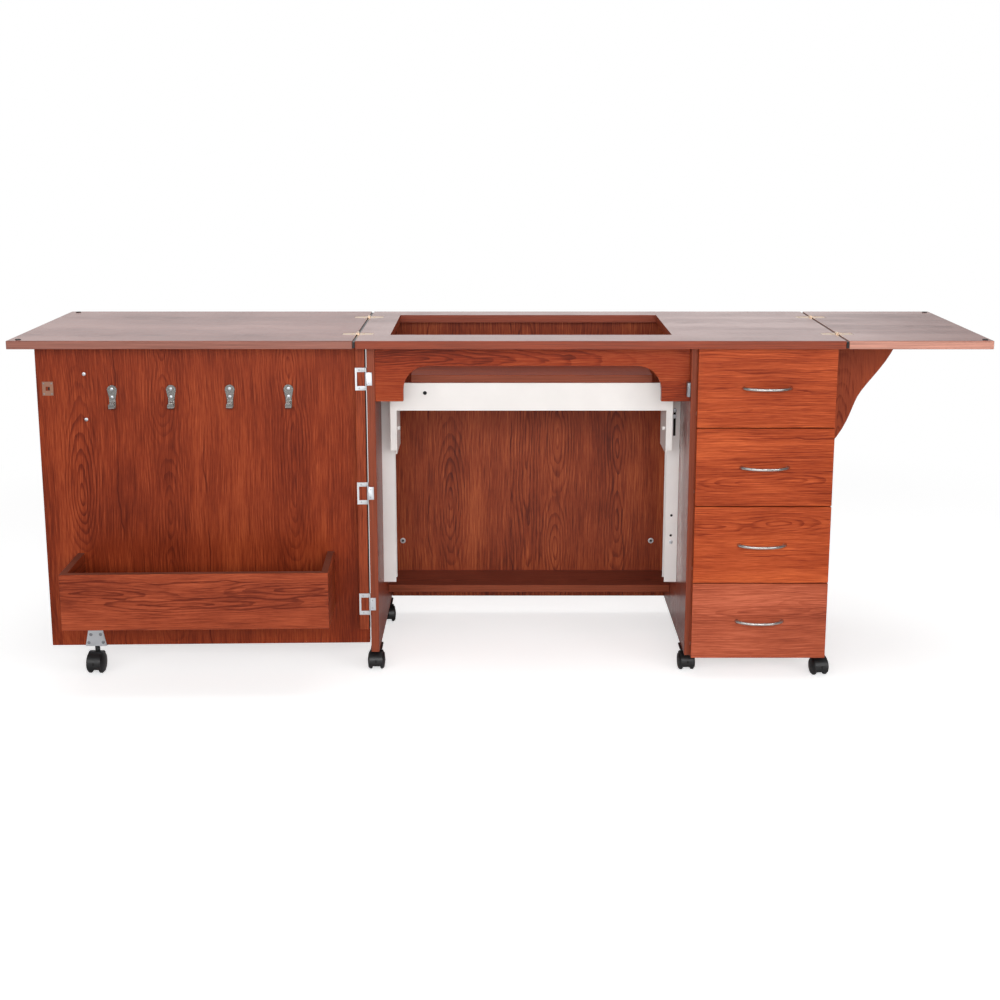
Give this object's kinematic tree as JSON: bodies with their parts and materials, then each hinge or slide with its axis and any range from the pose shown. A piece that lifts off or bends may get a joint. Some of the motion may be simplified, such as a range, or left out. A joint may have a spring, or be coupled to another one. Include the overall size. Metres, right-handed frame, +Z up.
{
  "type": "sewing cabinet",
  "caption": "Teak-finish sewing cabinet on casters with folding leaves, a machine lift, a storage door with a bin and hooks, and a drawer column.",
  "frame": {"origin": "Floor point under the middle of the open cabinet's bounding box, where the casters stand", "axes": "+X runs to the user's right along the table top, +Y runs to the back, +Z runs up"},
  "size_m": [2.1095, 0.607, 0.7725],
  "materials": {
    "teak_laminate": "satin teak-pattern laminate",
    "drawer_lining": "matt lining board",
    "white_steel": "white powder coat",
    "zinc_plate": "bright zinc plate",
    "satin_nickel": "satin nickel plate",
    "pale_brass": "pale brass plate",
    "black_plastic": "satin black nylon"
  },
  "bodies": {
    "cabinet": {"main_top": "teak_laminate", "left_side_panel": "teak_laminate", "divider_panel": "teak_laminate", "right_side_panel": "teak_laminate", "back_panel": "teak_laminate", "base_shelf": "teak_laminate", "drawer_bay_floor": "teak_laminate", "apron": "teak_laminate", "lift_rail_left": "white_steel", "lift_rail_right": "white_steel", "touch_catch": "zinc_plate", "door_hinge_frame_leaf_1": "zinc_plate", "door_hinge_frame_leaf_2": "zinc_plate", "door_hinge_frame_leaf_3": "zinc_plate", "top_hinge_left_front": "pale_brass", "top_hinge_left_rear": "pale_brass", "top_hinge_right_front": "pale_brass", "top_hinge_right_rear": "pale_brass"},
    "left_leaf_body": {"left_leaf": "teak_laminate"},
    "right_leaf_body": {"right_leaf": "teak_laminate"},
    "door": {"door_panel": "teak_laminate", "door_hinge_strip": "teak_laminate", "door_bin": "teak_laminate", "strike_plate": "zinc_plate", "door_pull": "satin_nickel", "door_caster_bracket": "zinc_plate", "door_hinge_leaf_1": "zinc_plate", "door_hinge_leaf_2": "zinc_plate", "door_hinge_leaf_3": "zinc_plate", "coat_hook_1": "satin_nickel", "coat_hook_2": "satin_nickel", "coat_hook_3": "satin_nickel", "coat_hook_4": "satin_nickel"},
    "wing": {"leaf_wing": "teak_laminate"},
    "lift": {"lift_frame": "white_steel", "lift_platform": "teak_laminate"},
    "drawer_1": {"drawer_1_front": "teak_laminate", "drawer_1_tray": "drawer_lining", "drawer_1_pull": "satin_nickel"},
    "drawer_2": {"drawer_2_front": "teak_laminate", "drawer_2_tray": "drawer_lining", "drawer_2_pull": "satin_nickel"},
    "drawer_3": {"drawer_3_front": "teak_laminate", "drawer_3_tray": "drawer_lining", "drawer_3_pull": "satin_nickel"},
    "drawer_4": {"drawer_4_front": "teak_laminate", "drawer_4_tray": "drawer_lining", "drawer_4_pull": "satin_nickel"},
    "caster_left_front": {"caster_left_front_housing": "black_plastic"},
    "caster_left_front_wheel_pair": {"caster_left_front_wheels": "black_plastic"},
    "caster_left_rear": {"caster_left_rear_housing": "black_plastic"},
    "caster_left_rear_wheel_pair": {"caster_left_rear_wheels": "black_plastic"},
    "caster_divider_front": {"caster_divider_front_housing": "black_plastic"},
    "caster_divider_front_wheel_pair": {"caster_divider_front_wheels": "black_plastic"},
    "caster_right_front": {"caster_right_front_housing": "black_plastic"},
    "caster_right_front_wheel_pair": {"caster_right_front_wheels": "black_plastic"},
    "caster_right_rear": {"caster_right_rear_housing": "black_plastic"},
    "caster_right_rear_wheel_pair": {"caster_right_rear_wheels": "black_plastic"},
    "caster_door": {"caster_door_housing": "black_plastic"},
    "caster_door_wheel_pair": {"caster_door_wheels": "black_plastic"}
  },
  "joints": [
    {"name": "left_leaf_fold", "type": "hinge", "parent": "cabinet", "child": "left_leaf_body", "pos_m": [-0.31275, -0.19651, 0.7692], "axis": [0, 1, 0], "range_deg": [0, 180]},
    {"name": "right_leaf_fold", "type": "hinge", "parent": "cabinet", "child": "right_leaf_body", "pos_m": [0.74275, -0.19651, 0.7692], "axis": [0, -1, 0], "range_deg": [0, 180]},
    {"name": "door_swing", "type": "hinge", "parent": "cabinet", "child": "door", "pos_m": [-0.29305, -0.14061, 0], "axis": [0, 0, 1], "range_deg": [-1.5, 178.5]},
    {"name": "wing_swing", "type": "hinge", "parent": "cabinet", "child": "wing", "pos_m": [0.72855, 0.06249, 0], "axis": [0, 0, 1], "range_deg": [0, 90]},
    {"name": "lift_slide", "type": "slide", "parent": "cabinet", "child": "lift", "axis": [0, 0, 1], "range_m": [-0.28, 0.094]},
    {"name": "drawer_1_slide", "type": "slide", "parent": "cabinet", "child": "drawer_1", "axis": [0, -1, 0], "range_m": [0, 0.3]},
    {"name": "drawer_2_slide", "type": "slide", "parent": "cabinet", "child": "drawer_2", "axis": [0, -1, 0], "range_m": [0, 0.3]},
    {"name": "drawer_3_slide", "type": "slide", "parent": "cabinet", "child": "drawer_3", "axis": [0, -1, 0], "range_m": [0, 0.3]},
    {"name": "drawer_4_slide", "type": "slide", "parent": "cabinet", "child": "drawer_4", "axis": [0, -1, 0], "range_m": [0, 0.3]},
    {"name": "caster_left_front_swivel", "type": "hinge", "parent": "cabinet", "child": "caster_left_front", "pos_m": [-0.28225, -0.10251, 0], "axis": [0, 0, 1], "continuous": true},
    {"name": "caster_left_front_roll", "type": "hinge", "parent": "caster_left_front", "child": "caster_left_front_wheel_pair", "pos_m": [-0.28225, -0.11451, 0.0205], "axis": [1, 0, 0], "continuous": true},
    {"name": "caster_left_rear_swivel", "type": "hinge", "parent": "cabinet", "child": "caster_left_rear", "pos_m": [-0.28225, 0.22249, 0], "axis": [0, 0, 1], "continuous": true},
    {"name": "caster_left_rear_roll", "type": "hinge", "parent": "caster_left_rear", "child": "caster_left_rear_wheel_pair", "pos_m": [-0.28058, 0.21061, 0.0205], "axis": [0.9903, 0.1392, 0], "continuous": true},
    {"name": "caster_divider_front_swivel", "type": "hinge", "parent": "cabinet", "child": "caster_divider_front", "pos_m": [0.42375, -0.10651, 0], "axis": [0, 0, 1], "continuous": true},
    {"name": "caster_divider_front_roll", "type": "hinge", "parent": "caster_divider_front", "child": "caster_divider_front_wheel_pair", "pos_m": [0.42459, -0.11848, 0.0205], "axis": [0.9976, 0.0698, 0], "continuous": true},
    {"name": "caster_right_front_swivel", "type": "hinge", "parent": "cabinet", "child": "caster_right_front", "pos_m": [0.71875, -0.13951, 0], "axis": [0, 0, 1], "continuous": true},
    {"name": "caster_right_front_roll", "type": "hinge", "parent": "caster_right_front", "child": "caster_right_front_wheel_pair", "pos_m": [0.72063, -0.15136, 0.0205], "axis": [0.9877, 0.1564, 0], "continuous": true},
    {"name": "caster_right_rear_swivel", "type": "hinge", "parent": "cabinet", "child": "caster_right_rear", "pos_m": [0.71875, 0.22249, 0], "axis": [0, 0, 1], "continuous": true},
    {"name": "caster_right_rear_roll", "type": "hinge", "parent": "caster_right_rear", "child": "caster_right_rear_wheel_pair", "pos_m": [0.71708, 0.21061, 0.0205], "axis": [0.9903, -0.1392, 0], "continuous": true},
    {"name": "caster_door_swivel", "type": "hinge", "parent": "door", "child": "caster_door", "pos_m": [-0.91478, -0.12848, 0], "axis": [0, 0, 1], "continuous": true},
    {"name": "caster_door_roll", "type": "hinge", "parent": "caster_door", "child": "caster_door_wheel_pair", "pos_m": [-0.9153, -0.14047, 0.0245], "axis": [0.999, -0.0436, 0], "continuous": true}
  ]
}
